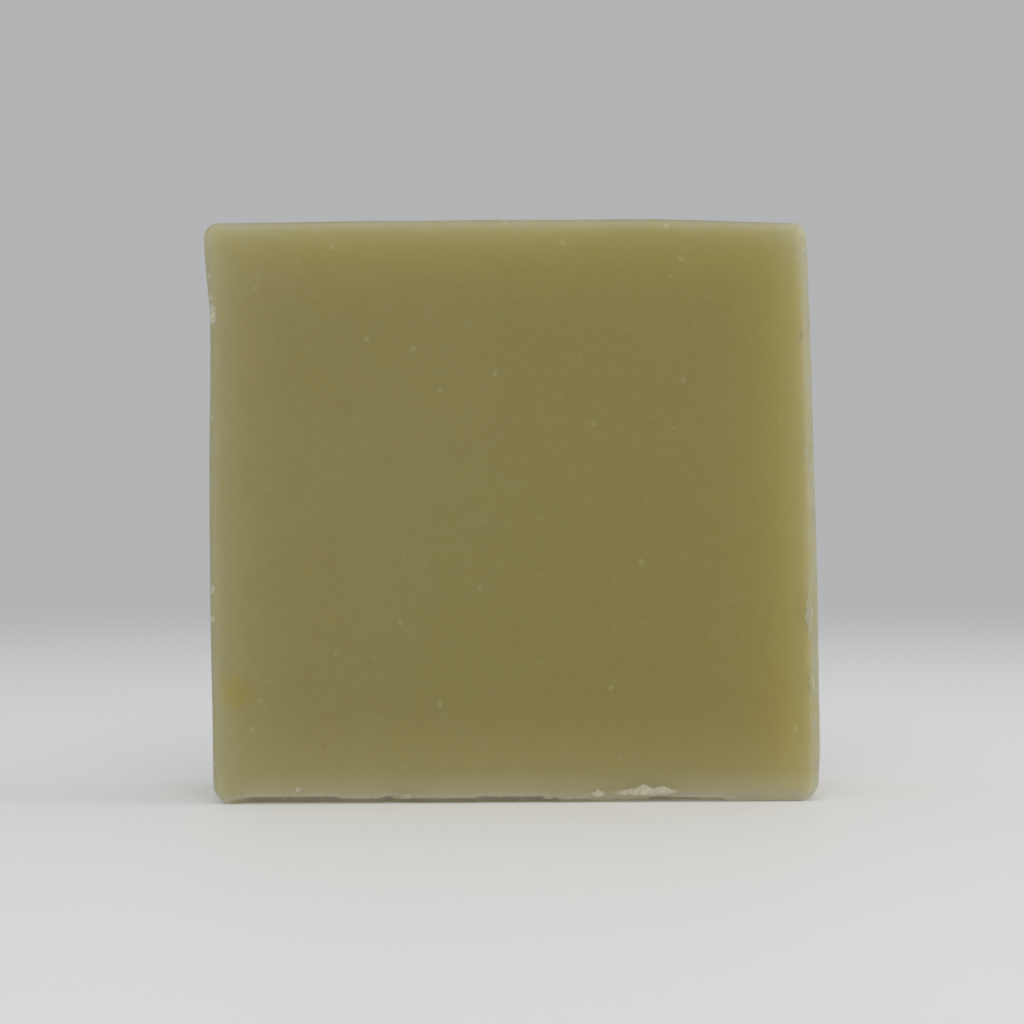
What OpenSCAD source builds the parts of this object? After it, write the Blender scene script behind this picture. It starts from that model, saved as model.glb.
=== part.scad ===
// Hand-cut square shaving soap bar, standing on its long edge.
// X runs along the bar's width, Y through its thickness and Z up.
// The origin is the middle of the foot that it stands on.

/* [Bar] */
// Width of the bar at its foot
bar_w = 74; // [60:1:90]
// Height of the bar at the middle of its crowned top
bar_h = 71; // [60:0.1:90]
// Thickness of the bar between its two cut faces
bar_t = 25; // [18:1:35]

/* [Hand-cut shape] */
// How far the top has leaned to the left of the foot
lean = 1.2; // [0:0.1:3]
// How much narrower the top is than the foot
top_narrowing = 0.6; // [0:0.1:2]
// Rise of the top's middle over its two ends
crown = 0.4; // [0.1:0.1:1]

/* [Edges] */
// Radius of the two corners at the foot
foot_corner_r = 2.4; // [1.5:0.1:4]
// Radius of the two sharper corners at the top
top_corner_r = 1.8; // [1.5:0.1:4]
// Radius of the eased arris round each cut face
arris_r = 0.8; // [0.4:0.1:1.4]

/* [Clinging shavings] */
// Thickness of the dried shavings that cling to the front face
shaving_t = 0.3; // [0.2:0.05:0.5]
// Least width of a shaving, as a share of its greatest width
raggedness = 0.55; // [0.3:0.05:0.9]

/* [Hidden] */
corner_fn = 48;
arris_steps = 5;
crown_steps = 4;
top_w = bar_w - top_narrowing;
// The foot and the top sit either side of the origin, so that the leaning bar's box is centred on it.
foot_x = (lean - top_narrowing / 2) / 2;
top_x = foot_x - lean;
front_y = -bar_t / 2;
shaving_step = 0.4;
// The width that a shaving keeps where it tapers out
thin_w = 0.1;
// How far the side shavings lie in from the border of the flat front face
side_inset = 0.1;
golden_angle = 137.5;
// Shavings along the foot: [x of the middle, z of the lower edge, length, greatest height]
foot_shavings = [[16, 1.2, 9, 1.4], [10.2, 1.1, 2.2, 0.9], [4.2, 0.9, 1.6, 0.5], [-13.5, 1, 4, 0.4],
    [-26.2, 1.9, 1, 0.5]];
// Shavings up the right side: [z of the middle, length, greatest width]
side_shavings = [[22.6, 6.4, 0.7], [14.6, 2.8, 0.4], [42.6, 2, 0.4]];

// A rounded corner of the outline, as deep as the bar, with its two rims eased.
module corner_post(x, z, r) {
    flat_half = bar_t / 2 - arris_r;
    rim_r = r - arris_r;
    eased = [for (i = [0 : arris_steps]) let (a = 90 * i / arris_steps)
        [rim_r + arris_r * cos(a), flat_half + arris_r * sin(a)]];
    eased_below = [for (i = [arris_steps : -1 : 0]) [eased[i].x, -eased[i].y]];
    translate([x, 0, z])
        rotate([90, 0, 0])
            rotate_extrude($fn = corner_fn)
                polygon(concat([[0, -bar_t / 2]], eased_below, eased, [[0, bar_t / 2]]));
}

// The block: four corner posts and the posts that crown its top, in one taut skin.
module soap_bar() {
    foot_half = bar_w / 2 - foot_corner_r;
    top_half = top_w / 2 - top_corner_r;
    color([0.50, 0.47, 0.28])
        hull() {
            for (side = [-1, 1])
                corner_post(foot_x + side * foot_half, foot_corner_r, foot_corner_r);
            for (i = [0 : crown_steps]) let (u = 2 * i / crown_steps - 1)
                corner_post(top_x + u * top_half, bar_h - top_corner_r - crown * u * u, top_corner_r);
        }
}

// A flat shaving with one straight side along X and a torn side above it.
module shaving(length, width) {
    steps = ceil(length / shaving_step);
    torn = [for (i = [0 : steps]) let (u = i / steps, wave = (1 + sin(golden_angle * i)) / 2)
        [length * (u - 0.5),
            thin_w + (width - thin_w) * sqrt(sin(180 * u)) * (raggedness + (1 - raggedness) * wave)]];
    rotate([90, 0, 0])
        linear_extrude(shaving_t)
            polygon(concat([[length / 2, 0], [-length / 2, 0]], torn));
}

// X of the flat front face's right border at height z.
function right_border(z) = foot_x + bar_w / 2 - arris_r - (lean + top_narrowing / 2) * z / bar_h;

module edge_shavings() {
    color([0.72, 0.69, 0.58]) {
        for (s = foot_shavings)
            translate([s[0], front_y, s[1]]) shaving(s[2], s[3]);
        for (s = side_shavings)
            translate([right_border(s[0] + s[1] / 2) - side_inset, front_y, s[0]])
                rotate([0, -90, 0]) shaving(s[1], s[2]);
    }
}

soap_bar();
edge_shavings();
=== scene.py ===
"""A hand-cut square bar of shaving soap, standing on its long edge on a plain pale floor.

Lengths are in metres in the CAD frame: X runs along the bar, Y through it and Z up.
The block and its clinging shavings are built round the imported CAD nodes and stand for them.
"""

import math
import random

import bmesh
import bpy
import numpy as np
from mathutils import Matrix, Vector, noise
from mathutils.bvhtree import BVHTree


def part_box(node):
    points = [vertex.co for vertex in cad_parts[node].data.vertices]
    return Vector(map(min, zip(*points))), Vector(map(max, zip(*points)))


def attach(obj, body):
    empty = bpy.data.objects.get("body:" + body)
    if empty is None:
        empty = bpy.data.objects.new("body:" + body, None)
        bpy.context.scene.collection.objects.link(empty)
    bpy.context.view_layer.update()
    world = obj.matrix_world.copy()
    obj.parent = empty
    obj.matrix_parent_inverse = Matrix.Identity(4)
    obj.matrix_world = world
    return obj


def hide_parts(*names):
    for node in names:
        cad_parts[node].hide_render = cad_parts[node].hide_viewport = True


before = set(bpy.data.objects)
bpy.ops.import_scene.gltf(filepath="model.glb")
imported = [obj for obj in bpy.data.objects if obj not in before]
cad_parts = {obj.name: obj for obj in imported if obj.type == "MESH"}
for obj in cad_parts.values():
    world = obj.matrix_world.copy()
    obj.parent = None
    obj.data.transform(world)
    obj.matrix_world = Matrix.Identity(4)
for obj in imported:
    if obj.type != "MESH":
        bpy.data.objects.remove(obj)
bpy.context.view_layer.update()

MM = 0.001
BAR_LOW, BAR_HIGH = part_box("soap_bar")
BAR_MIDDLE = (BAR_LOW + BAR_HIGH) / 2
BAR_SIZE = BAR_HIGH - BAR_LOW
FRONT_Y = BAR_LOW.y
LEFT, RIGHT = -1, 1
FRONT, BACK = -1, 1

# The block's mesh: how far apart its points are, and how near an arris or a corner they are closer
SPACING = 0.85 * MM
ARRIS_BAND = 1.5 * MM
CORNER_BAND = 3.4 * MM
FOOT_BAND = 1.3 * MM

# How far round a pit the grid is still closer
PIT_HALO = 0.6 * SPACING
# How often the grid is smoothed where it goes round an arris or a corner
SMOOTHINGS = 4

# The hand-cut shape: a hollow up the left side, a belly and a tuck up the right, a swell of the top right,
# and faces that aren't quite flat
HOLLOW_DEPTH = 0.5 * MM
HOLLOW_FOOT, HOLLOW_DEEPEST, HOLLOW_TOP = 30 * MM, 59 * MM, 68 * MM
BELLY_DEPTH = 0.30 * MM
SIDE_REACH = 9 * MM
TUCK_DEPTH = 0.24 * MM
TUCK_FOOT, TUCK_TOP = 1 * MM, 6.5 * MM
SWELL_HEIGHT = 0.22 * MM
SWELL_MIDDLE, SWELL_HALF = 18 * MM, 17 * MM
WAVE_DEPTH = 0.07 * MM
WAVE_SIZE = 14 * MM
# Behind the front, from the first depth on and fully at the second, the skin is wavier and more streaked
DEEPER_WAVE_DEPTH = 0.10 * MM
DEEPER_WAVE_SIZE = 8 * MM
DEEPER_START, DEEPER_FULL = 3 * MM, 9 * MM

# Pits and hollows, which keep off the border by a margin. Their spans are in millimetres.
PITS_A_FACE = 22
PIT_RADII, PIT_DEPTHS = (0.2, 0.45), (0.03, 0.09)
HOLLOWS_A_SIDE = 9
HOLLOWS_ON_TOP = 9
HOLLOWS_ON_BACK = 12
HOLLOW_RADII, HOLLOW_DEPTHS = (0.4, 0.95), (0.08, 0.24)
PIT_MARGIN = 6 * MM

# Random chips: their spans in millimetres, how far they slant across and along the arris, and their wear
CHIPS_AN_ARRIS = 7
CHIP_RADII = (0.5, 1.6)
SIDE_CHIP_DEPTHS, SIDE_CHIP_HEIGHTS = (0.05, 0.14), (4, 67)
RIM_CHIP_DEPTHS, RIM_CHIP_PLACES = (0.04, 0.10), (-33, 33)
CHIP_SLANTS, CHIP_TILTS = (0.6, 1.4), (-0.4, 0.4)
CHIP_WEAR = 0.35

rng = random.Random(74)
INNER_LOW = np.array(BAR_LOW) + PIT_MARGIN
INNER_HIGH = np.array(BAR_HIGH) - PIT_MARGIN


# ---------------------------------------------------------------- helpers for meshes

def smoothstep(low, high, x):
    """0 below low and 1 above high, with a smooth rise between."""
    t = np.clip((x - low) / (high - low), 0, 1)
    return t * t * (3 - 2 * t)


def lumps(points, size, seed, octaves=1):
    """Smooth noise at each point, from about -1 to 1, with lumps of that size, which may differ by axis."""
    start = Vector((seed * 3.1, seed * 7.7, seed * 5.3))
    scaled = points / np.array(size)
    return np.array([noise.fractal(Vector(p) + start, 1.0, 2.0, octaves) for p in scaled])


def coordinates(mesh):
    """The points of a mesh as an array with a row for each."""
    flat = np.zeros(len(mesh.vertices) * 3)
    mesh.vertices.foreach_get("co", flat)
    return flat.reshape(-1, 3)


def normals(mesh):
    """The directions in which a mesh's points face."""
    flat = np.zeros(len(mesh.vertices) * 3)
    mesh.vertex_normals.foreach_get("vector", flat)
    return flat.reshape(-1, 3)


def set_coordinates(mesh, points):
    mesh.vertices.foreach_set("co", points.ravel())
    mesh.update()


def set_attribute(mesh, name, values):
    """Stores one number for each point, for the material to read."""
    attribute = mesh.attributes.new(name, "FLOAT", "POINT")
    attribute.data.foreach_set("value", values.astype(np.float32))


def show(name, mesh, material):
    """Puts a mesh in the scene with that name and material."""
    piece = bpy.data.objects.new(name, mesh)
    bpy.context.scene.collection.objects.link(piece)
    mesh.materials.append(material)
    for face in mesh.polygons:
        face.use_smooth = True
    return piece


def unit(*parts):
    return np.array(parts) / np.linalg.norm(parts)


def random_mm(span):
    """A random length in metres, from a span in millimetres."""
    return rng.uniform(*span) * MM


# ---------------------------------------------------------------- the block's grid

def read_side_lines():
    """X of the bar's left and right sides at its foot and at its top, from the CAD node's corners."""
    points = coordinates(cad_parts["soap_bar"].data)
    foot = points[points[:, 2] < BAR_MIDDLE.z]
    top = points[points[:, 2] > BAR_MIDDLE.z]
    return foot[:, 0].min(), top[:, 0].min(), foot[:, 0].max(), top[:, 0].max()


FOOT_LEFT, TOP_LEFT, FOOT_RIGHT, TOP_RIGHT = read_side_lines()


def left_side(z):
    return FOOT_LEFT + (TOP_LEFT - FOOT_LEFT) * (z - BAR_LOW.z) / BAR_SIZE.z


def right_side(z):
    return FOOT_RIGHT + (TOP_RIGHT - FOOT_RIGHT) * (z - BAR_LOW.z) / BAR_SIZE.z


def side_x(side, z):
    return left_side(z) if side == LEFT else right_side(z)


def box_grid():
    """The bar's leaning box as a skin of even quads, about SPACING apart."""
    bm = bmesh.new()
    bmesh.ops.create_cube(bm, size=1.0)
    for axis in range(3):
        along = [e for e in bm.edges if abs(e.verts[0].co[axis] - e.verts[1].co[axis]) > 0.5]
        bmesh.ops.subdivide_edges(bm, edges=along, cuts=round(BAR_SIZE[axis] / SPACING) - 1)
    for v in bm.verts:
        y = BAR_MIDDLE.y + v.co.y * BAR_SIZE.y
        z = BAR_MIDDLE.z + v.co.z * BAR_SIZE.z
        v.co = (left_side(z) + (v.co.x + 0.5) * (right_side(z) - left_side(z)), y, z)
    return bm


def refine(bm, wanted, times):
    """Halves the edges whose middle is wanted, that many times."""
    for _ in range(times):
        edges = list(bm.edges)
        middles = np.array([(e.verts[0].co + e.verts[1].co) / 2 for e in edges])
        picked = [e for e, pick in zip(edges, wanted(middles)) if pick]
        bmesh.ops.subdivide_edges(bm, edges=picked, cuts=1, use_grid_fill=True)


def depths(points):
    """How far in each point is from the left or right, from the foot or top, and from the two cut faces."""
    x, y, z = points.T
    from_end = np.minimum(x - left_side(z), right_side(z) - x)
    from_rim = np.minimum(z - BAR_LOW.z, BAR_HIGH.z - z)
    from_face = np.minimum(y - BAR_LOW.y, BAR_HIGH.y - y)
    return from_end, from_rim, from_face


def near_arris(points):
    from_end, from_rim, from_face = depths(points)
    return np.maximum(np.minimum(from_end, from_rim), from_face) < ARRIS_BAND


def near_corner(points):
    from_end, from_rim, _ = depths(points)
    return np.maximum(from_end, from_rim) < CORNER_BAND


def near_front_foot(points):
    """Whether each point is near the foot's front arris, which is broken away."""
    _, y, z = points.T
    return (y < FRONT_Y + FOOT_BAND) & (z < BAR_LOW.z + FOOT_BAND)


def near_pits(pits):
    """A test for points within a pit, or within about half a step of the grid round it."""
    def wanted(points):
        hit = np.zeros(len(points), bool)
        for centre, _, radius, _ in pits:
            hit |= np.linalg.norm(points - centre, axis=1) < radius + PIT_HALO
        return hit
    return wanted


# ---------------------------------------------------------------- the block's shape

def shift_of_side(side, z):
    """How far right of the CAD node's side the worked one lies: a hollow, or a belly and a tuck."""
    if side == LEFT:
        closing = 1 - smoothstep(HOLLOW_DEEPEST, HOLLOW_TOP, z)
        return HOLLOW_DEPTH * smoothstep(HOLLOW_FOOT, HOLLOW_DEEPEST, z) * closing
    share = np.clip((z - BAR_LOW.z) / BAR_SIZE.z, 0, 1)
    return BELLY_DEPTH * np.sin(math.pi * share) - TUCK_DEPTH * (1 - smoothstep(TUCK_FOOT, TUCK_TOP, z))


def shape_sides(points):
    """Works the left and right sides, fading towards the middle of the bar."""
    x, _, z = points.T
    near_left = 1 - smoothstep(0, SIDE_REACH, x - left_side(z))
    near_right = 1 - smoothstep(0, SIDE_REACH, right_side(z) - x)
    points[:, 0] += shift_of_side(LEFT, z) * near_left + shift_of_side(RIGHT, z) * near_right


def swell_top(points):
    """Raises the top right of its middle, fading towards the middle of the bar."""
    x, _, z = points.T
    near_top = smoothstep(BAR_HIGH.z - SIDE_REACH, BAR_HIGH.z, z)
    points[:, 2] += SWELL_HEIGHT * near_top * (1 - smoothstep(0, SWELL_HALF, np.abs(x - SWELL_MIDDLE)))


def worked_x(side, z):
    return side_x(side, z) + shift_of_side(side, z)


def scoop(points, wear_and_highlight, centre, outward, radius, depth, amount):
    """Presses the points inside a ball back to its skin, as a chip leaves them, and marks them worn."""
    offset = points - (centre + outward * (radius - depth))
    along = offset @ outward
    across = np.linalg.norm(offset - np.outer(along, outward), axis=1)
    reach = np.sqrt(np.maximum(radius ** 2 - across ** 2, 0))
    inside = (across < radius) & (np.abs(along) < reach)
    points[inside] -= np.outer((along + reach)[inside], outward)
    wear_and_highlight[inside] = np.maximum(wear_and_highlight[inside], amount)


def random_place(low, high):
    return np.array([rng.uniform(a, b) for a, b in zip(low, high)])


def random_pits():
    """Small pits on both cut faces: [place, outward, radius, depth]."""
    pits = []
    for face, y in ((FRONT, BAR_LOW.y), (BACK, BAR_HIGH.y)):
        for _ in range(PITS_A_FACE):
            place = random_place((INNER_LOW[0], y, INNER_LOW[2]), (INNER_HIGH[0], y, INNER_HIGH[2]))
            depth = random_mm(PIT_DEPTHS)
            pits.append([place, unit(0, face, 0), random_mm(PIT_RADII), depth])
    return pits


def random_hollows():
    """Wider hollows on the sides, the top and the back, in the same form."""
    skins = []
    for side in (LEFT, RIGHT):
        for _ in range(HOLLOWS_A_SIDE):
            z = rng.uniform(INNER_LOW[2], INNER_HIGH[2])
            x = side_x(side, z)
            skins.append([(x, INNER_LOW[1], z), (x, INNER_HIGH[1], z), unit(side, 0, 0)])
    top = BAR_HIGH.z
    top_skin = [(INNER_LOW[0], INNER_LOW[1], top), (INNER_HIGH[0], INNER_HIGH[1], top), unit(0, 0, 1)]
    back = BAR_HIGH.y
    back_skin = [(INNER_LOW[0], back, INNER_LOW[2]), (INNER_HIGH[0], back, INNER_HIGH[2]), unit(0, BACK, 0)]
    skins += [top_skin] * HOLLOWS_ON_TOP + [back_skin] * HOLLOWS_ON_BACK
    hollows = []
    for low, high, outward in skins:
        depth = random_mm(HOLLOW_DEPTHS)
        hollows.append([random_place(low, high), outward, random_mm(HOLLOW_RADII), depth])
    return hollows


def press_pit(points, place, outward, radius, depth):
    """A soft-edged pit at the point of the skin that is nearest the place."""
    centre = points[np.argmin(np.linalg.norm(points - place, axis=1))].copy()
    distance = np.linalg.norm(points - centre, axis=1)
    points -= np.outer(depth * (1 - smoothstep(radius * 0.3, radius, distance)), outward)


# Chips on the front's left and right arrises, and how far they tilt at random along the arris:
# [side, height, ball radius, depth, wear]
SIDE_CHIPS = [
    [LEFT, 64.0 * MM, 0.9 * MM, 0.12 * MM, 0.6],
    [LEFT, 60.1 * MM, 1.9 * MM, 0.22 * MM, 0.9],
    [LEFT, 59.1 * MM, 1.7 * MM, 0.28 * MM, 1.25],
    [LEFT, 61.5 * MM, 1.0 * MM, 0.16 * MM, 0.5],
    [LEFT, 26.1 * MM, 0.9 * MM, 0.28 * MM, 0.9],
    [LEFT, 22.4 * MM, 0.8 * MM, 0.20 * MM, 0.9],
    [LEFT, 47.0 * MM, 0.8 * MM, 0.12 * MM, 0.5],
    [RIGHT, 61.2 * MM, 1.6 * MM, 0.14 * MM, 0.7],
    [RIGHT, 58.6 * MM, 1.2 * MM, 0.16 * MM, 0.7],
    [RIGHT, 55.2 * MM, 0.9 * MM, 0.22 * MM, 0.7],
    [RIGHT, 42.8 * MM, 1.0 * MM, 0.20 * MM, 0.7],
    [RIGHT, 38.6 * MM, 0.8 * MM, 0.16 * MM, 0.7],
    [RIGHT, 25.6 * MM, 0.9 * MM, 0.18 * MM, 0.7],
    [RIGHT, 18.6 * MM, 1.0 * MM, 0.20 * MM, 0.7],
    [RIGHT, 14.2 * MM, 0.8 * MM, 0.18 * MM, 0.7],
]
SIDE_CHIP_TILTS = (-0.3, 0.3)
# A dent beside the front's right arris, darkened with painted shade
DENT_HEIGHT = 56.8 * MM
DENT_INSET = 1.15 * MM
DENT_HALF_SIZE = (0.5 * MM, 0.5 * MM, 1.0 * MM)
DENT_DEPTH = 0.16 * MM
# How far the eased arris already lies inside the sharp corner that it replaced
EASING = 0.33 * MM
# How far from an arris the work on it reaches at most
ARRIS_REACH = 2 * MM


def chip_arris(points, wear_and_highlight, corner, outward, radius, depth, amount):
    scoop(points, wear_and_highlight, corner - outward * EASING, outward, radius, depth, amount)


def dent_arris(points, torn):
    """The one soft dent, darkened with painted shade."""
    centre = (worked_x(RIGHT, DENT_HEIGHT) - DENT_INSET, FRONT_Y, DENT_HEIGHT)
    share = np.linalg.norm((points - centre) / DENT_HALF_SIZE, axis=1)
    pressed = 1 - smoothstep(0.2, 1.0, share)
    points[:, 1] += DENT_DEPTH * pressed
    # Painted shade in the dent
    np.maximum(torn, pressed, out=torn)


def chip_arrises(points, wear_and_highlight):
    """Chips on all eight long arrises: the named ones at the front, and random ones everywhere."""
    for side, z, radius, depth, wear in SIDE_CHIPS:
        corner = np.array((worked_x(side, z), FRONT_Y, z))
        outward = unit(side, FRONT, rng.uniform(*SIDE_CHIP_TILTS))
        chip_arris(points, wear_and_highlight, corner, outward, radius, depth, wear)
    for face, y in ((FRONT, BAR_LOW.y), (BACK, BAR_HIGH.y)):
        for side in (LEFT, RIGHT):
            for _ in range(CHIPS_AN_ARRIS):
                z = random_mm(SIDE_CHIP_HEIGHTS)
                outward = unit(side, face * rng.uniform(*CHIP_SLANTS), rng.uniform(*CHIP_TILTS))
                radius = random_mm(CHIP_RADII)
                depth = random_mm(SIDE_CHIP_DEPTHS)
                corner = np.array((worked_x(side, z), y, z))
                chip_arris(points, wear_and_highlight, corner, outward, radius, depth, CHIP_WEAR)
        for rim, z in ((-1, BAR_LOW.z), (1, BAR_HIGH.z)):
            for _ in range(CHIPS_AN_ARRIS):
                x = random_mm(RIM_CHIP_PLACES)
                outward = unit(rng.uniform(*CHIP_TILTS), face * rng.uniform(*CHIP_SLANTS), rim)
                radius = random_mm(CHIP_RADII)
                depth = random_mm(RIM_CHIP_DEPTHS)
                chip_arris(points, wear_and_highlight, np.array((x, y, z)), outward, radius, depth, CHIP_WEAR)


# Where the foot's front arris is broken further in: [middle, half its length, how much further]
FOOT_BREAKS = [
    [-27.0 * MM, 6.6 * MM, 0.20 * MM],
    [-14.3 * MM, 2.0 * MM, 0.20 * MM],
    [-0.2 * MM, 5.0 * MM, 0.13 * MM],
    [19.5 * MM, 3.4 * MM, 0.10 * MM],
    [24.6 * MM, 2.2 * MM, 0.05 * MM],
]
# Where it is broken less far in: [start, end, how much less]
FOOT_STEPS = [
    [4.6 * MM, 6.5 * MM, 0.12 * MM],
    [9 * MM, 11 * MM, 0.04 * MM],
]
BREAK_INSET = 0.58 * MM
BREAK_LIP = 0.50 * MM
# Where the break begins at the left, where its painted shade is full, and where it ends at the right
BREAK_START, BREAK_DARKENS = (-36.6 * MM, -33.4 * MM), (-35.5 * MM, -31 * MM)
BREAK_END = (25 * MM, 28.5 * MM)


def break_foot(points, wear_and_highlight, torn):
    """Breaks away the front arris of the foot below a ragged line, darkens the break with painted shade,
    and gives the lip above it a painted highlight.
    """
    x, y, z = points.T
    outward = unit(0, FRONT * 0.6, -0.8)
    near = (y < FRONT_Y + ARRIS_REACH) & (z < BAR_LOW.z + ARRIS_REACH)
    x = x[near]
    line = np.outer(x, (1, 0, 0))
    inset = BREAK_INSET + (0.06 * lumps(line, 2.4 * MM, 3, 2) + 0.035 * lumps(line, 0.7 * MM, 4, 2)) * MM
    inset -= sum(less * smoothstep(start, end, x) for start, end, less in FOOT_STEPS)
    for middle, half, further in FOOT_BREAKS:
        inset += further * (1 - smoothstep(half * 0.7, half, np.abs(x - middle)))
    inset *= smoothstep(*BREAK_START, x) * (1 - smoothstep(*BREAK_END, x))
    faded = 0.35 + 0.65 * smoothstep(*BREAK_DARKENS, x)
    corner = np.stack([x, np.full(len(x), FRONT_Y), np.full(len(x), BAR_LOW.z)], axis=1)
    beyond = (points[near] - corner) @ outward + inset
    points[near] -= np.outer(np.maximum(beyond, 0), outward)
    # Painted shade on the break
    torn[near] = np.maximum(torn[near], smoothstep(0, 0.22 * MM, beyond) * faded)
    # Painted highlight: a pale lip just above the break
    lip_highlight = 0.5 * smoothstep(-BREAK_LIP, -0.1 * MM, beyond) * (1 - smoothstep(0, 0.1 * MM, beyond))
    wear_and_highlight[near] = np.maximum(wear_and_highlight[near] * (1 - torn[near]), lip_highlight)


# How far the foot rises off the floor, and between which two distances from the bar's middle, or from the
# largest shaving's: towards its left end, towards its right end, and under that shaving
LEFT_RISE, LEFT_RISE_SPAN = 0.07 * MM, (8 * MM, 20 * MM)
RIGHT_RISE, RIGHT_RISE_SPAN = 0.08 * MM, (6 * MM, 12 * MM)
SHAVING_RISE, SHAVING_RISE_SPAN = 0.08 * MM, (3 * MM, 9 * MM)
SHAVING_MIDDLE = 19 * MM
RISE_REACH = 1.5 * MM


def raise_foot(points):
    """Lifts the foot off the floor by about a tenth of a millimetre, except near its middle."""
    x, _, z = points.T
    rise = LEFT_RISE * smoothstep(*LEFT_RISE_SPAN, -x) + RIGHT_RISE * smoothstep(*RIGHT_RISE_SPAN, x)
    rise += SHAVING_RISE * (1 - smoothstep(*SHAVING_RISE_SPAN, np.abs(x - SHAVING_MIDDLE)))
    points[:, 2] += rise * (1 - smoothstep(0, RISE_REACH, z - BAR_LOW.z))


# The planed strips: [side, how far in, how ragged], and how worn they are
PLANED_STRIPS = [
    [RIGHT, 0.59 * MM, 0.12 * MM],
    [LEFT, 0.40 * MM, 0.05 * MM],
]
PLANED_WEAR = 0.08
# The line of painted shade beside the right strip: how dark it is, how far in from the side, and how deep
# it lies
SHADE_LINE_DARKNESS = 0.3
SHADE_LINE_REACH = 0.6 * MM
SHADE_LINE_START, SHADE_LINE_END = (0.3 * MM, 0.8 * MM), (1.1 * MM, 1.6 * MM)


def plane_side_arrises(points, wear_and_highlight, torn):
    """The narrow strip that a blade left down each front side arris, and a line of painted shade by the
    right one.
    """
    for side, inset, ragged in PLANED_STRIPS:
        x, y, z = points.T
        outward = unit(side, FRONT, 0)
        edge_x = worked_x(side, z)
        corner = np.stack([edge_x, np.full(len(z), FRONT_Y), z], axis=1)
        near = (np.abs(x - edge_x) < ARRIS_REACH) & (y < FRONT_Y + ARRIS_REACH)
        wander = np.zeros(len(z))
        wander[near] = lumps(points[near], (3 * MM, 3 * MM, 1.7 * MM), 5 + side, 3)
        cut = (points - corner) @ outward + inset + ragged * wander
        above = near & (cut > 0)
        points[above] -= np.outer(cut[above], outward)
        wear_and_highlight[above] = np.maximum(wear_and_highlight[above], PLANED_WEAR)
        if side == RIGHT:
            depth = y - FRONT_Y
            line = smoothstep(*SHADE_LINE_START, depth) * (1 - smoothstep(*SHADE_LINE_END, depth))
            beside = near & (np.abs(x - edge_x) < SHADE_LINE_REACH)
            # Painted shade along the line
            shade_line = SHADE_LINE_DARKNESS * line * smoothstep(-0.5, 0.5, wander)
            torn[beside] = np.maximum(torn[beside], shade_line[beside])


def build_block(pits, hollows):
    """The block's mesh: a grid laid on the CAD node, closer near arrises, corners and pits, then worked."""
    bm = box_grid()
    refine(bm, near_corner, 1)
    refine(bm, near_arris, 2)
    refine(bm, near_front_foot, 1)
    refine(bm, near_pits(pits), 3)
    refine(bm, near_pits(hollows), 2)
    mesh = bpy.data.meshes.new("soap_block")
    bm.to_mesh(mesh)
    flat = coordinates(mesh)
    from_end, from_rim, from_face = depths(flat)
    tree = BVHTree.FromObject(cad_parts["soap_bar"], bpy.context.evaluated_depsgraph_get())
    for v in bm.verts:
        v.co = tree.find_nearest(v.co)[0]
    rounded = near_arris(flat) | near_corner(flat)
    soft = [v for v, pick in zip(bm.verts, rounded) if pick]
    for _ in range(SMOOTHINGS):
        bmesh.ops.smooth_vert(bm, verts=soft, factor=0.5, use_axis_x=True, use_axis_y=True, use_axis_z=True)
    bmesh.ops.triangulate(bm, faces=bm.faces, quad_method="SHORT_EDGE", ngon_method="BEAUTY")
    bm.to_mesh(mesh)
    bm.free()
    points = coordinates(mesh)
    facing = normals(mesh)
    wave = WAVE_DEPTH * lumps(points, WAVE_SIZE, 1, 2)
    deeper = smoothstep(DEEPER_START, DEEPER_FULL, points[:, 1] - FRONT_Y)
    wave += deeper * DEEPER_WAVE_DEPTH * lumps(points, DEEPER_WAVE_SIZE, 2, 2)
    on_foot = smoothstep(0.5, 0.9, -facing[:, 2])
    points += facing * (wave * (1 - on_foot))[:, None]
    wear_and_highlight = np.zeros(len(points))
    torn = np.zeros(len(points))
    shape_sides(points)
    swell_top(points)
    plane_side_arrises(points, wear_and_highlight, torn)
    chip_arrises(points, wear_and_highlight)
    dent_arris(points, torn)
    break_foot(points, wear_and_highlight, torn)
    raise_foot(points)
    for pit in pits + hollows:
        press_pit(points, *pit)
    set_coordinates(mesh, points)
    # Stored for the material: the distance from the arrises, the wear with the painted highlight above the
    # foot's break, and the painted shade
    set_attribute(mesh, "from_arris", np.maximum(np.minimum(from_end, from_rim), from_face))
    set_attribute(mesh, "wear_and_highlight", wear_and_highlight)
    set_attribute(mesh, "torn", torn)
    return mesh


# ---------------------------------------------------------------- the shavings

# A flake's grid, how far its middle stands off the bar, how far its rim and its root lie inside the bar,
# and how far it laps round the arris
FLAKE_STEP = 0.12 * MM
FLAKE_LEAST_STEPS = 12
FLAKE_ROWS = 15
FLAKE_LIFT = 0.20 * MM
FLAKE_SINK = 0.015 * MM
FLAKE_ROOT = 0.10 * MM
FLAKE_WRAP = 0.55 * MM
# How far before the bar's front the rays start that find its skin
RAY_START = 5 * MM
# Points nearer than this are one point: in the CAD node's mesh, and in the flakes'
CAD_MERGE, FLAKE_MERGE = 0.001 * MM, 0.0001 * MM
# Which shares of the way across it rises and falls
FLAKE_RISES, FLAKE_FALLS = (0, 0.28), (0.70, 1.0)
# A narrower flake than this is thinner too
FULL_WIDTH = 0.8 * MM
# The humps of a flake's torn side: [share of its length, half width as a share, height as a share]
FLAKE_HUMPS = [[0.20, 0.14, 0.12], [0.48, 0.09, 0.62], [0.75, 0.11, 0.44]]


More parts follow.
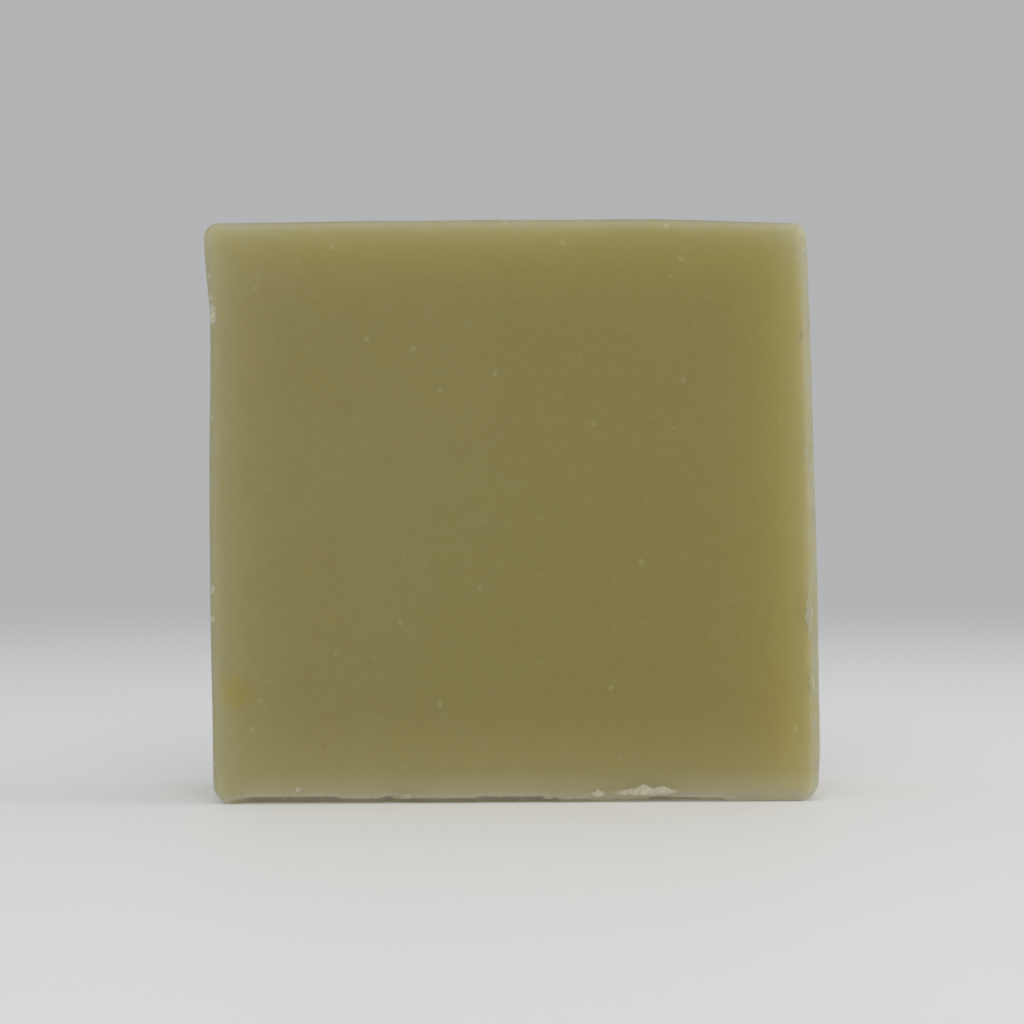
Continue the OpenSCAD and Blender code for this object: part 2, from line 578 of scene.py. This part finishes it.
def shaving_boxes():
    """The low and the high corner of each shaving in the CAD node: the loose parts of its mesh."""
    bm = bmesh.new()
    bm.from_mesh(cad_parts["edge_shavings"].data)
    bmesh.ops.remove_doubles(bm, verts=bm.verts, dist=CAD_MERGE)
    left_over = set(bm.verts)
    boxes = []
    while left_over:
        found = [left_over.pop()]
        for v in found:
            for e in v.link_edges:
                other = e.other_vert(v)
                if other in left_over:
                    left_over.remove(other)
                    found.append(other)
        points = np.array([v.co for v in found])
        boxes.append((points.min(0), points.max(0)))
    bm.free()
    return sorted(boxes, key=lambda box: (box[0][0], box[0][2]))


def torn_side(shares, length, seed):
    """How far a flake reaches from its straight side at each share of its length: ragged humps."""
    line = np.outer(shares * length, (1, 0, 0))
    reach = 0.38 + 0.16 * lumps(line, 1.6 * MM, seed, 2) + 0.10 * lumps(line, 0.5 * MM, seed + 9, 2)
    for middle, half, height in FLAKE_HUMPS:
        reach += height * np.exp(-((shares - middle) / half) ** 2)
    return np.clip(reach, 0.15, 1.1)


def flake_layer(bm, skin, low, high, seed, lifted):
    """One side of a flake as rows of points: its front, lifted off the bar, or its root just inside it."""
    body = bm.verts.layers.float["body"]
    upright = high[2] - low[2] > high[0] - low[0]
    along, across = (2, 0) if upright else (0, 2)
    length, width = high[along] - low[along], high[across] - low[across]
    fullness = min(1, width / FULL_WIDTH)
    shares = np.linspace(0, 1, max(FLAKE_LEAST_STEPS, round(length / FLAKE_STEP)) + 1)
    taper = np.sin(math.pi * shares) ** 0.4
    reach = (width * torn_side(shares, length, seed) + FLAKE_WRAP) * taper
    rows = []
    for v in np.linspace(0, 1, FLAKE_ROWS):
        row = []
        crest = smoothstep(*FLAKE_RISES, v) * (1 - smoothstep(*FLAKE_FALLS, v))
        for share, far, narrow in zip(shares, reach, taper):
            point = Vector((0, 0, 0))
            point[along] = low[along] + share * length
            outer = high[across] + FLAKE_WRAP * narrow if upright else low[across] - FLAKE_WRAP * narrow
            point[across] = outer - v * far if upright else outer + v * far
            hit = skin.ray_cast(Vector((point.x, FRONT_Y - RAY_START, point.z)), Vector((0, 1, 0)))[0]
            spot = Vector((share * length / MM, v * far / MM, seed * 7))
            lump = 0.55 + 0.5 * noise.noise(spot * 0.9) + 0.25 * noise.noise(spot * 2.4)
            thick = crest * narrow ** 2 * max(lump, 0.1) * fullness
            lift = FLAKE_LIFT * thick - FLAKE_SINK if lifted else -FLAKE_ROOT
            point.y = (hit.y if hit else FRONT_Y) - lift
            made = bm.verts.new(point)
            made[body] = thick
            row.append(made)
        rows.append(row)
    return rows


def rim_of(rows):
    """The outer points of a grid of rows, once round."""
    right = [row[-1] for row in rows[1:-1]]
    left = [row[0] for row in rows[-2:0:-1]]
    return rows[0] + right + rows[-1][::-1] + left


def add_flake(bm, skin, low, high, seed):
    """A thin ragged flake in that box, which thins out into the bar's skin all round."""
    front = flake_layer(bm, skin, low, high, seed, True)
    root = flake_layer(bm, skin, low, high, seed, False)
    for rows in (front, root):
        for lower, upper in zip(rows, rows[1:]):
            for i in range(len(lower) - 1):
                bm.faces.new((lower[i], lower[i + 1], upper[i + 1], upper[i]))
    front_rim, root_rim = rim_of(front), rim_of(root)
    for i in range(len(front_rim)):
        bm.faces.new((front_rim[i - 1], front_rim[i], root_rim[i], root_rim[i - 1]))


def build_shavings(block):
    """The clinging shavings, laid on the finished block."""
    bm = bmesh.new()
    bm.verts.layers.float.new("body")
    skin = BVHTree.FromObject(block, bpy.context.evaluated_depsgraph_get())
    for seed, (low, high) in enumerate(shaving_boxes()):
        add_flake(bm, skin, low, high, seed)
    bmesh.ops.remove_doubles(bm, verts=bm.verts, dist=FLAKE_MERGE)
    bmesh.ops.recalc_face_normals(bm, faces=bm.faces)
    mesh = bpy.data.meshes.new("clinging_shavings")
    bm.to_mesh(mesh)
    bm.free()
    return mesh


# ---------------------------------------------------------------- helpers for materials

def new_material(name):
    """A material with its node tree and its shader."""
    material = bpy.data.materials.new(name)
    material.use_nodes = True
    return material, material.node_tree, material.node_tree.nodes["Principled BSDF"]


def node(tree, kind, inputs, **settings):
    """A node with its settings. Each input is a plain value, or the output that it is linked to."""
    made = tree.nodes.new("ShaderNode" + kind)
    for name, value in settings.items():
        setattr(made, name, value)
    for name, value in inputs.items():
        if isinstance(value, bpy.types.NodeSocket):
            tree.links.new(value, made.inputs[name])
        else:
            made.inputs[name].default_value = value
    return made


def colour_mix(tree, amount, low, high):
    """The colour low where amount is 0 and high where it is 1. Both may be colours or outputs."""
    ends = [end if isinstance(end, bpy.types.NodeSocket) else (*end, 1) for end in (low, high)]
    return node(tree, "Mix", {0: amount, 6: ends[0], 7: ends[1]}, data_type="RGBA").outputs[2]


def arithmetic(tree, operation, a, b):
    return node(tree, "Math", {0: a, 1: b}, operation=operation).outputs[0]


def product(tree, first, *others):
    for other in others:
        first = arithmetic(tree, "MULTIPLY", first, other)
    return first


def rescale(tree, value, low, high, to_low=0.0, to_high=1.0):
    """Value, smoothly brought from the range low to high into the range to_low to to_high."""
    ranges = {"Value": value, "From Min": low, "From Max": high, "To Min": to_low, "To Max": to_high}
    return node(tree, "MapRange", ranges, interpolation_type="SMOOTHSTEP").outputs["Result"]


def stored(tree, name):
    return node(tree, "Attribute", {}, attribute_name=name).outputs["Fac"]


def place_on(tree, stretch=(1, 1, 1), move=(0, 0, 0)):
    """Object coordinates in metres, moved and stretched."""
    where = node(tree, "TexCoord", {}).outputs["Object"]
    return node(tree, "Mapping", {"Vector": where, "Scale": stretch, "Location": move}).outputs["Vector"]


def grain(tree, place, size, detail=3.0, roughness=0.5):
    """Noise from 0 to 1 with lumps of that size."""
    settings = {"Vector": place, "Scale": 1 / size, "Detail": detail, "Roughness": roughness}
    return node(tree, "TexNoise", settings).outputs["Fac"]


def uneven(tree, place):
    """The place, nudged about by a fifth of a millimetre, so that dots there aren't round."""
    settings = {"Vector": place, "Scale": 1 / (0.5 * MM), "Detail": 2.0}
    stir = node(tree, "TexNoise", settings).outputs["Color"]
    nudge = node(tree, "VectorMath", {0: stir, 1: (0.5, 0.5, 0.5)}, operation="SUBTRACT").outputs["Vector"]
    nudge = node(tree, "VectorMath", {0: nudge, "Scale": 0.8 * MM}, operation="SCALE").outputs["Vector"]
    return node(tree, "VectorMath", {0: place, 1: nudge}, operation="ADD").outputs["Vector"]


def dots(tree, place, cell, radius, share):
    """Scattered soft dots of that radius, in that share of cells."""
    cells = node(tree, "TexVoronoi", {"Vector": place, "Scale": 1 / cell})
    near = rescale(tree, cells.outputs["Distance"], 0.4 * radius / cell, radius / cell, 1.0, 0.0)
    draw = node(tree, "SeparateColor", {"Color": cells.outputs["Color"]}).outputs["Red"]
    return product(tree, near, arithmetic(tree, "LESS_THAN", draw, share))


def bump(tree, height):
    """A surface direction from a height in metres."""
    return node(tree, "Bump", {"Height": height, "Distance": 1.0, "Strength": 1.0}).outputs["Normal"]


# ---------------------------------------------------------------- materials

OLIVE = (0.322, 0.276, 0.075)
GREY_OLIVE = (0.336, 0.304, 0.126)
BROWN_OLIVE = (0.326, 0.270, 0.073)
# Painted light: a paler olive that stands in for light glowing through the soap's edges
PAINTED_EDGE_GLOW = (0.375, 0.330, 0.112)
# Painted light: a grey veil that greys the edges as a sheen, and also dims the right corners as painted
# shade
PAINTED_GREY_VEIL = (0.280, 0.275, 0.208)
# Painted shade: a darker olive for bands along the left, the right and the top
PAINTED_BAND_SHADE = (0.235, 0.215, 0.085)
# Painted light: paler colours that brighten the soap towards its foot, in a broad band and in a narrow line
FOOT_PAINTED_LIGHT = (0.46, 0.40, 0.20)
FOOT_PAINTED_LIGHT_LINE = (0.62, 0.56, 0.36)
# Painted sheen: the grey of the arrises' strips where they catch the light
PAINTED_STRIP_SHEEN = (0.306, 0.308, 0.244)
ASH = (0.72, 0.71, 0.62)
OCHRE = (0.335, 0.268, 0.058)
DARK_SPECK = (0.14, 0.10, 0.03)
# Painted shade: the dark of the broken foot, the dent and the line by the right strip
PAINTED_SHADE_COLOUR = (0.226, 0.209, 0.146)
OCHRE_PLACE = (-33.6 * MM, FRONT_Y, 13.6 * MM)

# Ramps for rescale: where each starts and ends, and how strong it is at its start and at its end.
# X, Y and Z ramps run along that axis, and FROM_ARRIS ramps run inwards from an arris.
# The painted sheen on the left: the random grey clouds grow towards the left, and a grey veil lies along
# the left side
X_LEFT_PAINTED_SHEEN = (-34 * MM, 14 * MM, 0.8, 0.1)
X_LEFT_PAINTED_VEIL = (-37 * MM, -23 * MM, 0.24, 0.0)
# Where the bands of painted shade lie: up the left side, inside the right strip and under the right half of
# the top
X_LEFT_SHADE, Z_LEFT_SHADE = (-37 * MM, -33.5 * MM, 0.42, 0.0), (55 * MM, 67 * MM, 1.0, 0.0)
X_RIGHT_SHADE = (28 * MM, 34 * MM, 0.0, 0.26)
FROM_ARRIS_SHADE_STARTS = (0.7 * MM, 1.4 * MM, 0.0, 1.0)
FROM_ARRIS_SHADE_ENDS = (1.4 * MM, 4.0 * MM, 1.0, 0.0)
X_TOP_SHADE_STARTS, X_TOP_SHADE_ENDS = (6 * MM, 15 * MM, 0.0, 0.18), (28 * MM, 34 * MM, 1.0, 0.0)
Z_TOP_SHADE = (65.5 * MM, 69 * MM, 0.0, 1.0)
# Where the painted shade dims the right corners
X_CORNER_PAINTED_SHADE = (28 * MM, 36 * MM, 0.0, 1.0)
Z_UPPER_CORNER, Z_LOWER_CORNER = (61 * MM, 70 * MM, 0.0, 0.5), (0.0, 9 * MM, 0.28, 0.0)
# Where the painted light at the foot lies: between the two corners and up from the floor
X_FOOT_STARTS, X_FOOT_ENDS = (-37 * MM, -29 * MM, 0.15, 1.0), (32.5 * MM, 37 * MM, 1.0, 0.05)
Z_FOOT_PAINTED_LIGHT = (0.0, 13 * MM, 0.42, 0.0)
Z_FOOT_PAINTED_LIGHT_LINE = (0.0, 4.5 * MM, 0.42, 0.0)
# Where the painted sheen along the arrises lies
X_LEFT_STRIP, X_RIGHT_STRIP = (-36 * MM, -20 * MM, 0.25, 0.0), (0.0, 30 * MM, 0.15, 0.62)
Z_TOP_STRIP = (66 * MM, 70 * MM, 0.0, 0.45)
FROM_ARRIS_STRIP = (0.1 * MM, 2.1 * MM, 1.0, 0.0)
# The painted glow and the painted grey veil, inwards from every arris
FROM_ARRIS_PAINTED_GLOW = (0.0, 12 * MM, 0.2, 0.0)
FROM_ARRIS_PAINTED_VEIL = (0.0, 5.5 * MM, 0.34, 0.0)
Y_STREAKS_FADE = (BAR_HIGH.y - 3 * MM, BAR_HIGH.y - 0.5 * MM, 1.0, 0.4)

# Specks: how far apart they are, their radius, and the share of them that show. The pale ones are raised.
PALE_SPECKS = (4.6 * MM, 0.50 * MM, 0.7)
FAINT_SPECKS = (2.3 * MM, 0.40 * MM, 0.6)
RUSTY_SPECKS = (3.1 * MM, 0.36 * MM, 0.6)
DARK_SPECKS = (7 * MM, 0.26 * MM, 0.7)
# Each kind of speck: [the kind, where its pattern is moved to, its strength, its colour]
SPECKS = [
    [PALE_SPECKS, (0, 0, 0), 0.13, ASH],
    [FAINT_SPECKS, (0.2, 0.7, 0.4), 0.045, ASH],
    [RUSTY_SPECKS, (0.8, 0.1, 0.6), 0.16, OCHRE],
    [DARK_SPECKS, (0.5, 0.5, 0.5), 0.18, DARK_SPECK],
]
# How much the drag lines behind the front show as pale streaks
STREAK_STRENGTH = 0.09
# The soap's relief in metres: its drag lines at the front and behind it, its waxy grain and its pale specks
FRONT_DRAG, DEEPER_DRAG = 0.014 * MM, 0.06 * MM
WAXY_RELIEF = 0.010 * MM
SPECK_RELIEF = 0.012 * MM
# How far light travels in the soap: each colour's share of the reach, and the reach
SOAP_SCATTER, SOAP_SCATTER_REACH = (1.0, 0.87, 0.6), 34 * MM


def drag_lines(tree):
    """The long faint lines that the cutting left, from 0 to 1."""
    return grain(tree, place_on(tree, stretch=(0.03, 1, 0.3)), 0.7 * MM, 4.0, 0.6)


def behind_front(tree, axes, at_front, behind):
    """One value at the front face, and another on the sides, the top and the back, away from it."""
    return rescale(tree, axes["Y"], FRONT_Y + DEEPER_START, FRONT_Y + DEEPER_FULL, at_front, behind)


def soap_body(tree, place, axes):
    """Olive soap: browner in patches, greyer in random clouds that a painted sheen strengthens towards the
    left, and streaked behind the front.
    """
    patches = rescale(tree, grain(tree, place, 24 * MM, 2.0), 0.40, 0.66)
    colour = colour_mix(tree, patches, OLIVE, BROWN_OLIVE)
    cloud = grain(tree, place_on(tree, move=(0.3, 0.1, 0.2)), 16 * MM, 3.0)
    cloud = rescale(tree, cloud, 0.2, 0.8, 0.35, 1.0)
    # Painted sheen: the grey clouds grow towards the left
    cloud = product(tree, cloud, rescale(tree, axes["X"], *X_LEFT_PAINTED_SHEEN))
    colour = colour_mix(tree, cloud, colour, GREY_OLIVE)
    fine = rescale(tree, grain(tree, place, 1.1 * MM, 4.0, 0.6), 0.35, 0.75, 0.0, 0.03)
    colour = colour_mix(tree, fine, colour, ASH)
    streaks = rescale(tree, drag_lines(tree), 0.42, 0.66)
    streaks = product(tree, streaks, behind_front(tree, axes, 0.0, STREAK_STRENGTH))
    streaks = product(tree, streaks, rescale(tree, axes["Y"], *Y_STREAKS_FADE))
    return colour_mix(tree, streaks, colour, ASH)


def left_painted_shade(tree, axes):
    """Painted shade: a darker border up the left side, which fades out near the top."""
    return product(tree, rescale(tree, axes["X"], *X_LEFT_SHADE), rescale(tree, axes["Z"], *Z_LEFT_SHADE))


def right_painted_shade(tree, axes):
    """Painted shade: a slightly darker band just inside the strip down the right arris."""
    inner = rescale(tree, stored(tree, "from_arris"), *FROM_ARRIS_SHADE_STARTS)
    outer = rescale(tree, stored(tree, "from_arris"), *FROM_ARRIS_SHADE_ENDS)
    return product(tree, inner, outer, rescale(tree, axes["X"], *X_RIGHT_SHADE))


def top_painted_shade(tree, axes):
    """Painted shade: a slightly darker band under the right half of the top."""
    start = rescale(tree, axes["X"], *X_TOP_SHADE_STARTS)
    end = rescale(tree, axes["X"], *X_TOP_SHADE_ENDS)
    return product(tree, start, end, rescale(tree, axes["Z"], *Z_TOP_SHADE))


def corner_painted_shade(tree, axes):
    """Painted shade: a grey veil that dims the two corners on the right, most at the top."""
    rightward = rescale(tree, axes["X"], *X_CORNER_PAINTED_SHADE)
    rightward = product(tree, rightward, behind_front(tree, axes, 1.0, 0.2))
    upward = rescale(tree, axes["Z"], *Z_UPPER_CORNER)
    downward = rescale(tree, axes["Z"], *Z_LOWER_CORNER)
    return product(tree, rightward, arithmetic(tree, "MAXIMUM", upward, downward))


def soap_border(tree, axes, colour):
    """The colour with painted light and shade: paler and greyer towards every arris as a painted glow and
    sheen, greyer up the left side as a painted sheen, darker in bands of painted shade along three sides,
    and greyer in the right corners as painted shade.
    """
    # Painted glow, paler towards every arris
    painted_glow = rescale(tree, stored(tree, "from_arris"), *FROM_ARRIS_PAINTED_GLOW)
    colour = colour_mix(tree, painted_glow, colour, PAINTED_EDGE_GLOW)
    # Painted sheen, a grey veil towards every arris
    painted_veil = rescale(tree, stored(tree, "from_arris"), *FROM_ARRIS_PAINTED_VEIL)
    colour = colour_mix(tree, painted_veil, colour, PAINTED_GREY_VEIL)
    # Painted sheen: a grey veil up the left side
    left_painted_veil = rescale(tree, axes["X"], *X_LEFT_PAINTED_VEIL)
    colour = colour_mix(tree, left_painted_veil, colour, PAINTED_GREY_VEIL)
    # Painted shade in bands along three sides
    shade = arithmetic(tree, "MAXIMUM", left_painted_shade(tree, axes), right_painted_shade(tree, axes))
    shade = arithmetic(tree, "MAXIMUM", shade, top_painted_shade(tree, axes))
    colour = colour_mix(tree, shade, colour, PAINTED_BAND_SHADE)
    # Painted shade in the right corners
    return colour_mix(tree, corner_painted_shade(tree, axes), colour, PAINTED_GREY_VEIL)


def strip_sheen_amount(tree, axes):
    """How much painted grey sheen lies along each arris: most on the right, and patchy at random."""
    leftward = rescale(tree, axes["X"], *X_LEFT_STRIP)
    rightward = rescale(tree, axes["X"], *X_RIGHT_STRIP)
    upward = rescale(tree, axes["Z"], *Z_TOP_STRIP)
    strip = rescale(tree, stored(tree, "from_arris"), *FROM_ARRIS_STRIP)
    patchy = rescale(tree, grain(tree, place_on(tree), 2.0 * MM, 3.0), 0.3, 0.7, 0.35, 1.15)
    most = arithmetic(tree, "MAXIMUM", arithmetic(tree, "MAXIMUM", leftward, rightward), upward)
    return product(tree, strip, patchy, most)


def soap_foot(tree, axes, colour):
    """The colour with painted light: paler towards the foot between its two corners, and a painted grey
    sheen along the arrises.
    """
    foot_end = rescale(tree, axes["X"], *X_FOOT_ENDS)
    between = product(tree, rescale(tree, axes["X"], *X_FOOT_STARTS), foot_end)
    # Painted light towards the foot
    foot_light = rescale(tree, axes["Z"], *Z_FOOT_PAINTED_LIGHT)
    colour = colour_mix(tree, product(tree, foot_light, between), colour, FOOT_PAINTED_LIGHT)
    # Painted sheen along the arrises
    colour = colour_mix(tree, strip_sheen_amount(tree, axes), colour, PAINTED_STRIP_SHEEN)
    # Painted light in a narrow line along the foot
    foot_light_line = rescale(tree, axes["Z"], *Z_FOOT_PAINTED_LIGHT_LINE)
    return colour_mix(tree, product(tree, foot_light_line, between), colour, FOOT_PAINTED_LIGHT_LINE)


def ochre_amount(tree, place):
    """One blurred patch of undissolved colour, low on the left of the front."""
    away = node(tree, "VectorMath", {0: place, 1: OCHRE_PLACE}, operation="DISTANCE").outputs["Value"]
    ragged = rescale(tree, grain(tree, place, 1.6 * MM, 3.0, 0.6), 0.3, 0.7, 0.25, 1.0)
    return product(tree, rescale(tree, away, 0.3 * MM, 3.0 * MM, 1.0, 0.0), ragged)


def soap_specks(tree, place, colour):
    """The colour with its scattered specks and its ochre patch."""
    for kind, move, strength, tint in SPECKS:
        shown = dots(tree, uneven(tree, place_on(tree, move=move)), *kind)
        colour = colour_mix(tree, product(tree, shown, strength), colour, tint)
    return colour_mix(tree, ochre_amount(tree, place), colour, OCHRE)


def soap_wear_and_painted_light(tree, place, colour):
    """The colour, ashen where the soap is worn, with a painted highlight on the lip above the foot's break,
    and darker with painted shade on the break, the dent and the line by the right strip.
    """
    crumbled = rescale(tree, grain(tree, place, 0.5 * MM, 3.0, 0.6), 0.3, 0.7, 0.15, 0.45)
    # Ash where the soap is worn, and a painted highlight on the lip above the foot's break
    colour = colour_mix(tree, product(tree, stored(tree, "wear_and_highlight"), crumbled), colour, ASH)
    # Painted shade on the break, the dent and the line by the right strip, patchy at random
    shade_patches = rescale(tree, grain(tree, place, 0.6 * MM, 3.0, 0.6), 0.3, 0.7, 0.65, 0.95)
    return colour_mix(tree, product(tree, stored(tree, "torn"), shade_patches), colour, PAINTED_SHADE_COLOUR)


def soap_colour(tree):
    """All that colours the soap, from its body out to its wear, with the light and shade painted on it."""
    place = place_on(tree)
    axes = node(tree, "SeparateXYZ", {"Vector": place}).outputs
    colour = soap_body(tree, place, axes)
    colour = soap_border(tree, axes, colour)
    colour = soap_foot(tree, axes, colour)
    colour = soap_specks(tree, place, colour)
    return soap_wear_and_painted_light(tree, place, colour)


def soap_relief(tree):
    """The fine surface: the cut's drag lines, deeper behind the front, a waxy grain, and raised specks."""
    axes = node(tree, "SeparateXYZ", {"Vector": place_on(tree)}).outputs
    waxy = grain(tree, place_on(tree), 0.35 * MM, 4.0, 0.6)
    specks = dots(tree, uneven(tree, place_on(tree)), *PALE_SPECKS)
    height = product(tree, drag_lines(tree), behind_front(tree, axes, FRONT_DRAG, DEEPER_DRAG))
    height = arithmetic(tree, "ADD", height, product(tree, waxy, WAXY_RELIEF))
    height = arithmetic(tree, "ADD", height, product(tree, specks, SPECK_RELIEF))
    return bump(tree, height)


def scatter(shader, radius, reach):
    """Lets light into the surface, by those shares of the reach for red, green and blue."""
    shader.subsurface_method = "RANDOM_WALK"
    shader.inputs["Subsurface Weight"].default_value = 1
    shader.inputs["Subsurface Radius"].default_value = radius
    shader.inputs["Subsurface Scale"].default_value = reach


def soap_material():
    """Translucent waxy soap, rougher where it is worn."""
    material, tree, shader = new_material("olive_soap")
    tree.links.new(soap_colour(tree), shader.inputs["Base Color"])
    satin = rescale(tree, grain(tree, place_on(tree), 3 * MM, 4.0, 0.6), 0.3, 0.7, 0.42, 0.58)
    rougher = product(tree, stored(tree, "wear_and_highlight"), 0.12)
    tree.links.new(arithmetic(tree, "ADD", satin, rougher), shader.inputs["Roughness"])
    tree.links.new(soap_relief(tree), shader.inputs["Normal"])
    scatter(shader, SOAP_SCATTER, SOAP_SCATTER_REACH)
    shader.inputs["IOR"].default_value = 1.45
    return material


# The flakes' colours at the foot and up the right side, and between which two x they change over
FOOT_FLAKE = {"rim": (0.44, 0.40, 0.23), "body": (0.53, 0.49, 0.35), "crest": (0.73, 0.69, 0.56)}
SIDE_FLAKE = {"rim": (0.52, 0.50, 0.31), "body": (0.53, 0.50, 0.34), "crest": (0.58, 0.54, 0.40)}
SIDE_STARTS = (22 * MM, 33 * MM)
DRIED_SCATTER, DRIED_SCATTER_REACH = (1.0, 0.9, 0.7), 0.12 * MM


def dried_material():
    """Dried shavings: soap-coloured where they thin out, and cream where they are thick."""
    material, tree, shader = new_material("dried_soap")
    place = place_on(tree)
    flecks = rescale(tree, grain(tree, place, 0.6 * MM, 4.0, 0.6), 0.3, 0.7)
    thick = rescale(tree, stored(tree, "body"), 0.08, 0.55)
    across = node(tree, "SeparateXYZ", {"Vector": place}).outputs["X"]
    sideways = rescale(tree, across, *SIDE_STARTS)
    rim, body, crest = [
        colour_mix(tree, sideways, FOOT_FLAKE[part], SIDE_FLAKE[part]) for part in ("rim", "body", "crest")
    ]
    colour = colour_mix(tree, product(tree, flecks, 0.8), body, crest)
    colour = colour_mix(tree, thick, rim, colour)
    tree.links.new(colour, shader.inputs["Base Color"])
    tree.links.new(rescale(tree, flecks, 0.0, 1.0, 0.5, 0.65), shader.inputs["Roughness"])
    crumbs = product(tree, grain(tree, place, 0.3 * MM, 4.0, 0.6), 0.02 * MM)
    tree.links.new(bump(tree, crumbs), shader.inputs["Normal"])
    scatter(shader, DRIED_SCATTER, DRIED_SCATTER_REACH)
    return material


# ---------------------------------------------------------------- stage

FLOOR_RADIUS = 1.2
# How far from the bar the floor starts to fade, and is gone
FLOOR_FADE = (0.10, 0.62)
FLOOR_COLOUR = (0.88, 0.88, 0.88, 1)
FLOOR_GLOW = 0.12
BACKDROP = (0.45, 0.455, 0.462, 1)


def add_area_light(name, place, size, power, colour):
    """A round light of that width in metres and power in watts, which faces the bar."""
    data = bpy.data.lights.new(name, "AREA")
    data.shape = "DISK"
    data.size = size
    data.energy = power
    data.color = colour
    light = bpy.data.objects.new(name, data)
    light.location = place
    light.rotation_euler = (BAR_MIDDLE - Vector(place)).to_track_quat("-Z", "Y").to_euler()
    bpy.context.scene.collection.objects.link(light)


def add_floor():
    """A pale disc that fades into the background, so that no horizon shows."""
    bm = bmesh.new()
    bmesh.ops.create_circle(bm, cap_ends=True, segments=96, radius=FLOOR_RADIUS)
    mesh = bpy.data.meshes.new("floor")
    bm.to_mesh(mesh)
    bm.free()
    material, tree, shader = new_material("pale_floor")
    shader.inputs["Base Color"].default_value = FLOOR_COLOUR
    shader.inputs["Roughness"].default_value = 0.6
    shader.inputs["Emission Color"].default_value = (1, 1, 1, 1)
    shader.inputs["Emission Strength"].default_value = FLOOR_GLOW
    away = node(tree, "VectorMath", {0: place_on(tree)}, operation="LENGTH").outputs["Value"]
    faded = rescale(tree, away, *FLOOR_FADE)
    clear = node(tree, "BsdfTransparent", {}).outputs["BSDF"]
    surface = node(tree, "MixShader", {0: faded, 1: shader.outputs["BSDF"], 2: clear}).outputs["Shader"]
    tree.links.new(surface, tree.nodes["Material Output"].inputs["Surface"])
    show("floor", mesh, material)


def add_world():
    world = bpy.data.worlds.new("studio")
    world.use_nodes = True
    background = world.node_tree.nodes["Background"]
    background.inputs["Color"].default_value = BACKDROP
    background.inputs["Strength"].default_value = 1
    bpy.context.scene.world = world


# Where the camera looks, from the middle of the bar, and its distance, its lens, its turn and its roll
AIM = (0.1 * MM, 0, -0.10 * MM)
CAMERA_DISTANCE = 297.5 * MM
SENSOR_MM, LENS_MM = 36, 82.45
TURN, ROLL = math.radians(-1.1), math.radians(-0.17)


def add_camera():
    """At the bar's mid-height and a degree to the left of square on, as in the photograph."""
    data = bpy.data.cameras.new("camera")
    data.sensor_width = SENSOR_MM
    data.lens = LENS_MM
    camera = bpy.data.objects.new("camera", data)
    back = Vector((math.sin(TURN), -math.cos(TURN), 0))
    camera.location = BAR_MIDDLE + Vector(AIM) + back * CAMERA_DISTANCE
    camera.rotation_euler = (-back).to_track_quat("-Z", "Y").to_euler()
    camera.rotation_euler.rotate_axis("Z", ROLL)
    bpy.context.scene.collection.objects.link(camera)
    bpy.context.scene.camera = camera


# ---------------------------------------------------------------- the scene

add_camera()
add_world()
add_floor()
add_area_light("key", place=(0.5, -0.07, 0.22), size=0.35, power=0.48, colour=(1, 0.99, 0.98))
add_area_light("fill", place=(0.02, -0.58, 0.52), size=0.6, power=1.31, colour=(1, 1, 1))
bpy.context.scene.view_settings.view_transform = "Standard"

block = show("soap_block", build_block(random_pits(), random_hollows()), soap_material())
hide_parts("soap_bar")
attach(block, "root")

shavings = show("clinging_shavings", build_shavings(block), dried_material())
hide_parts("edge_shavings")
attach(shavings, "root")
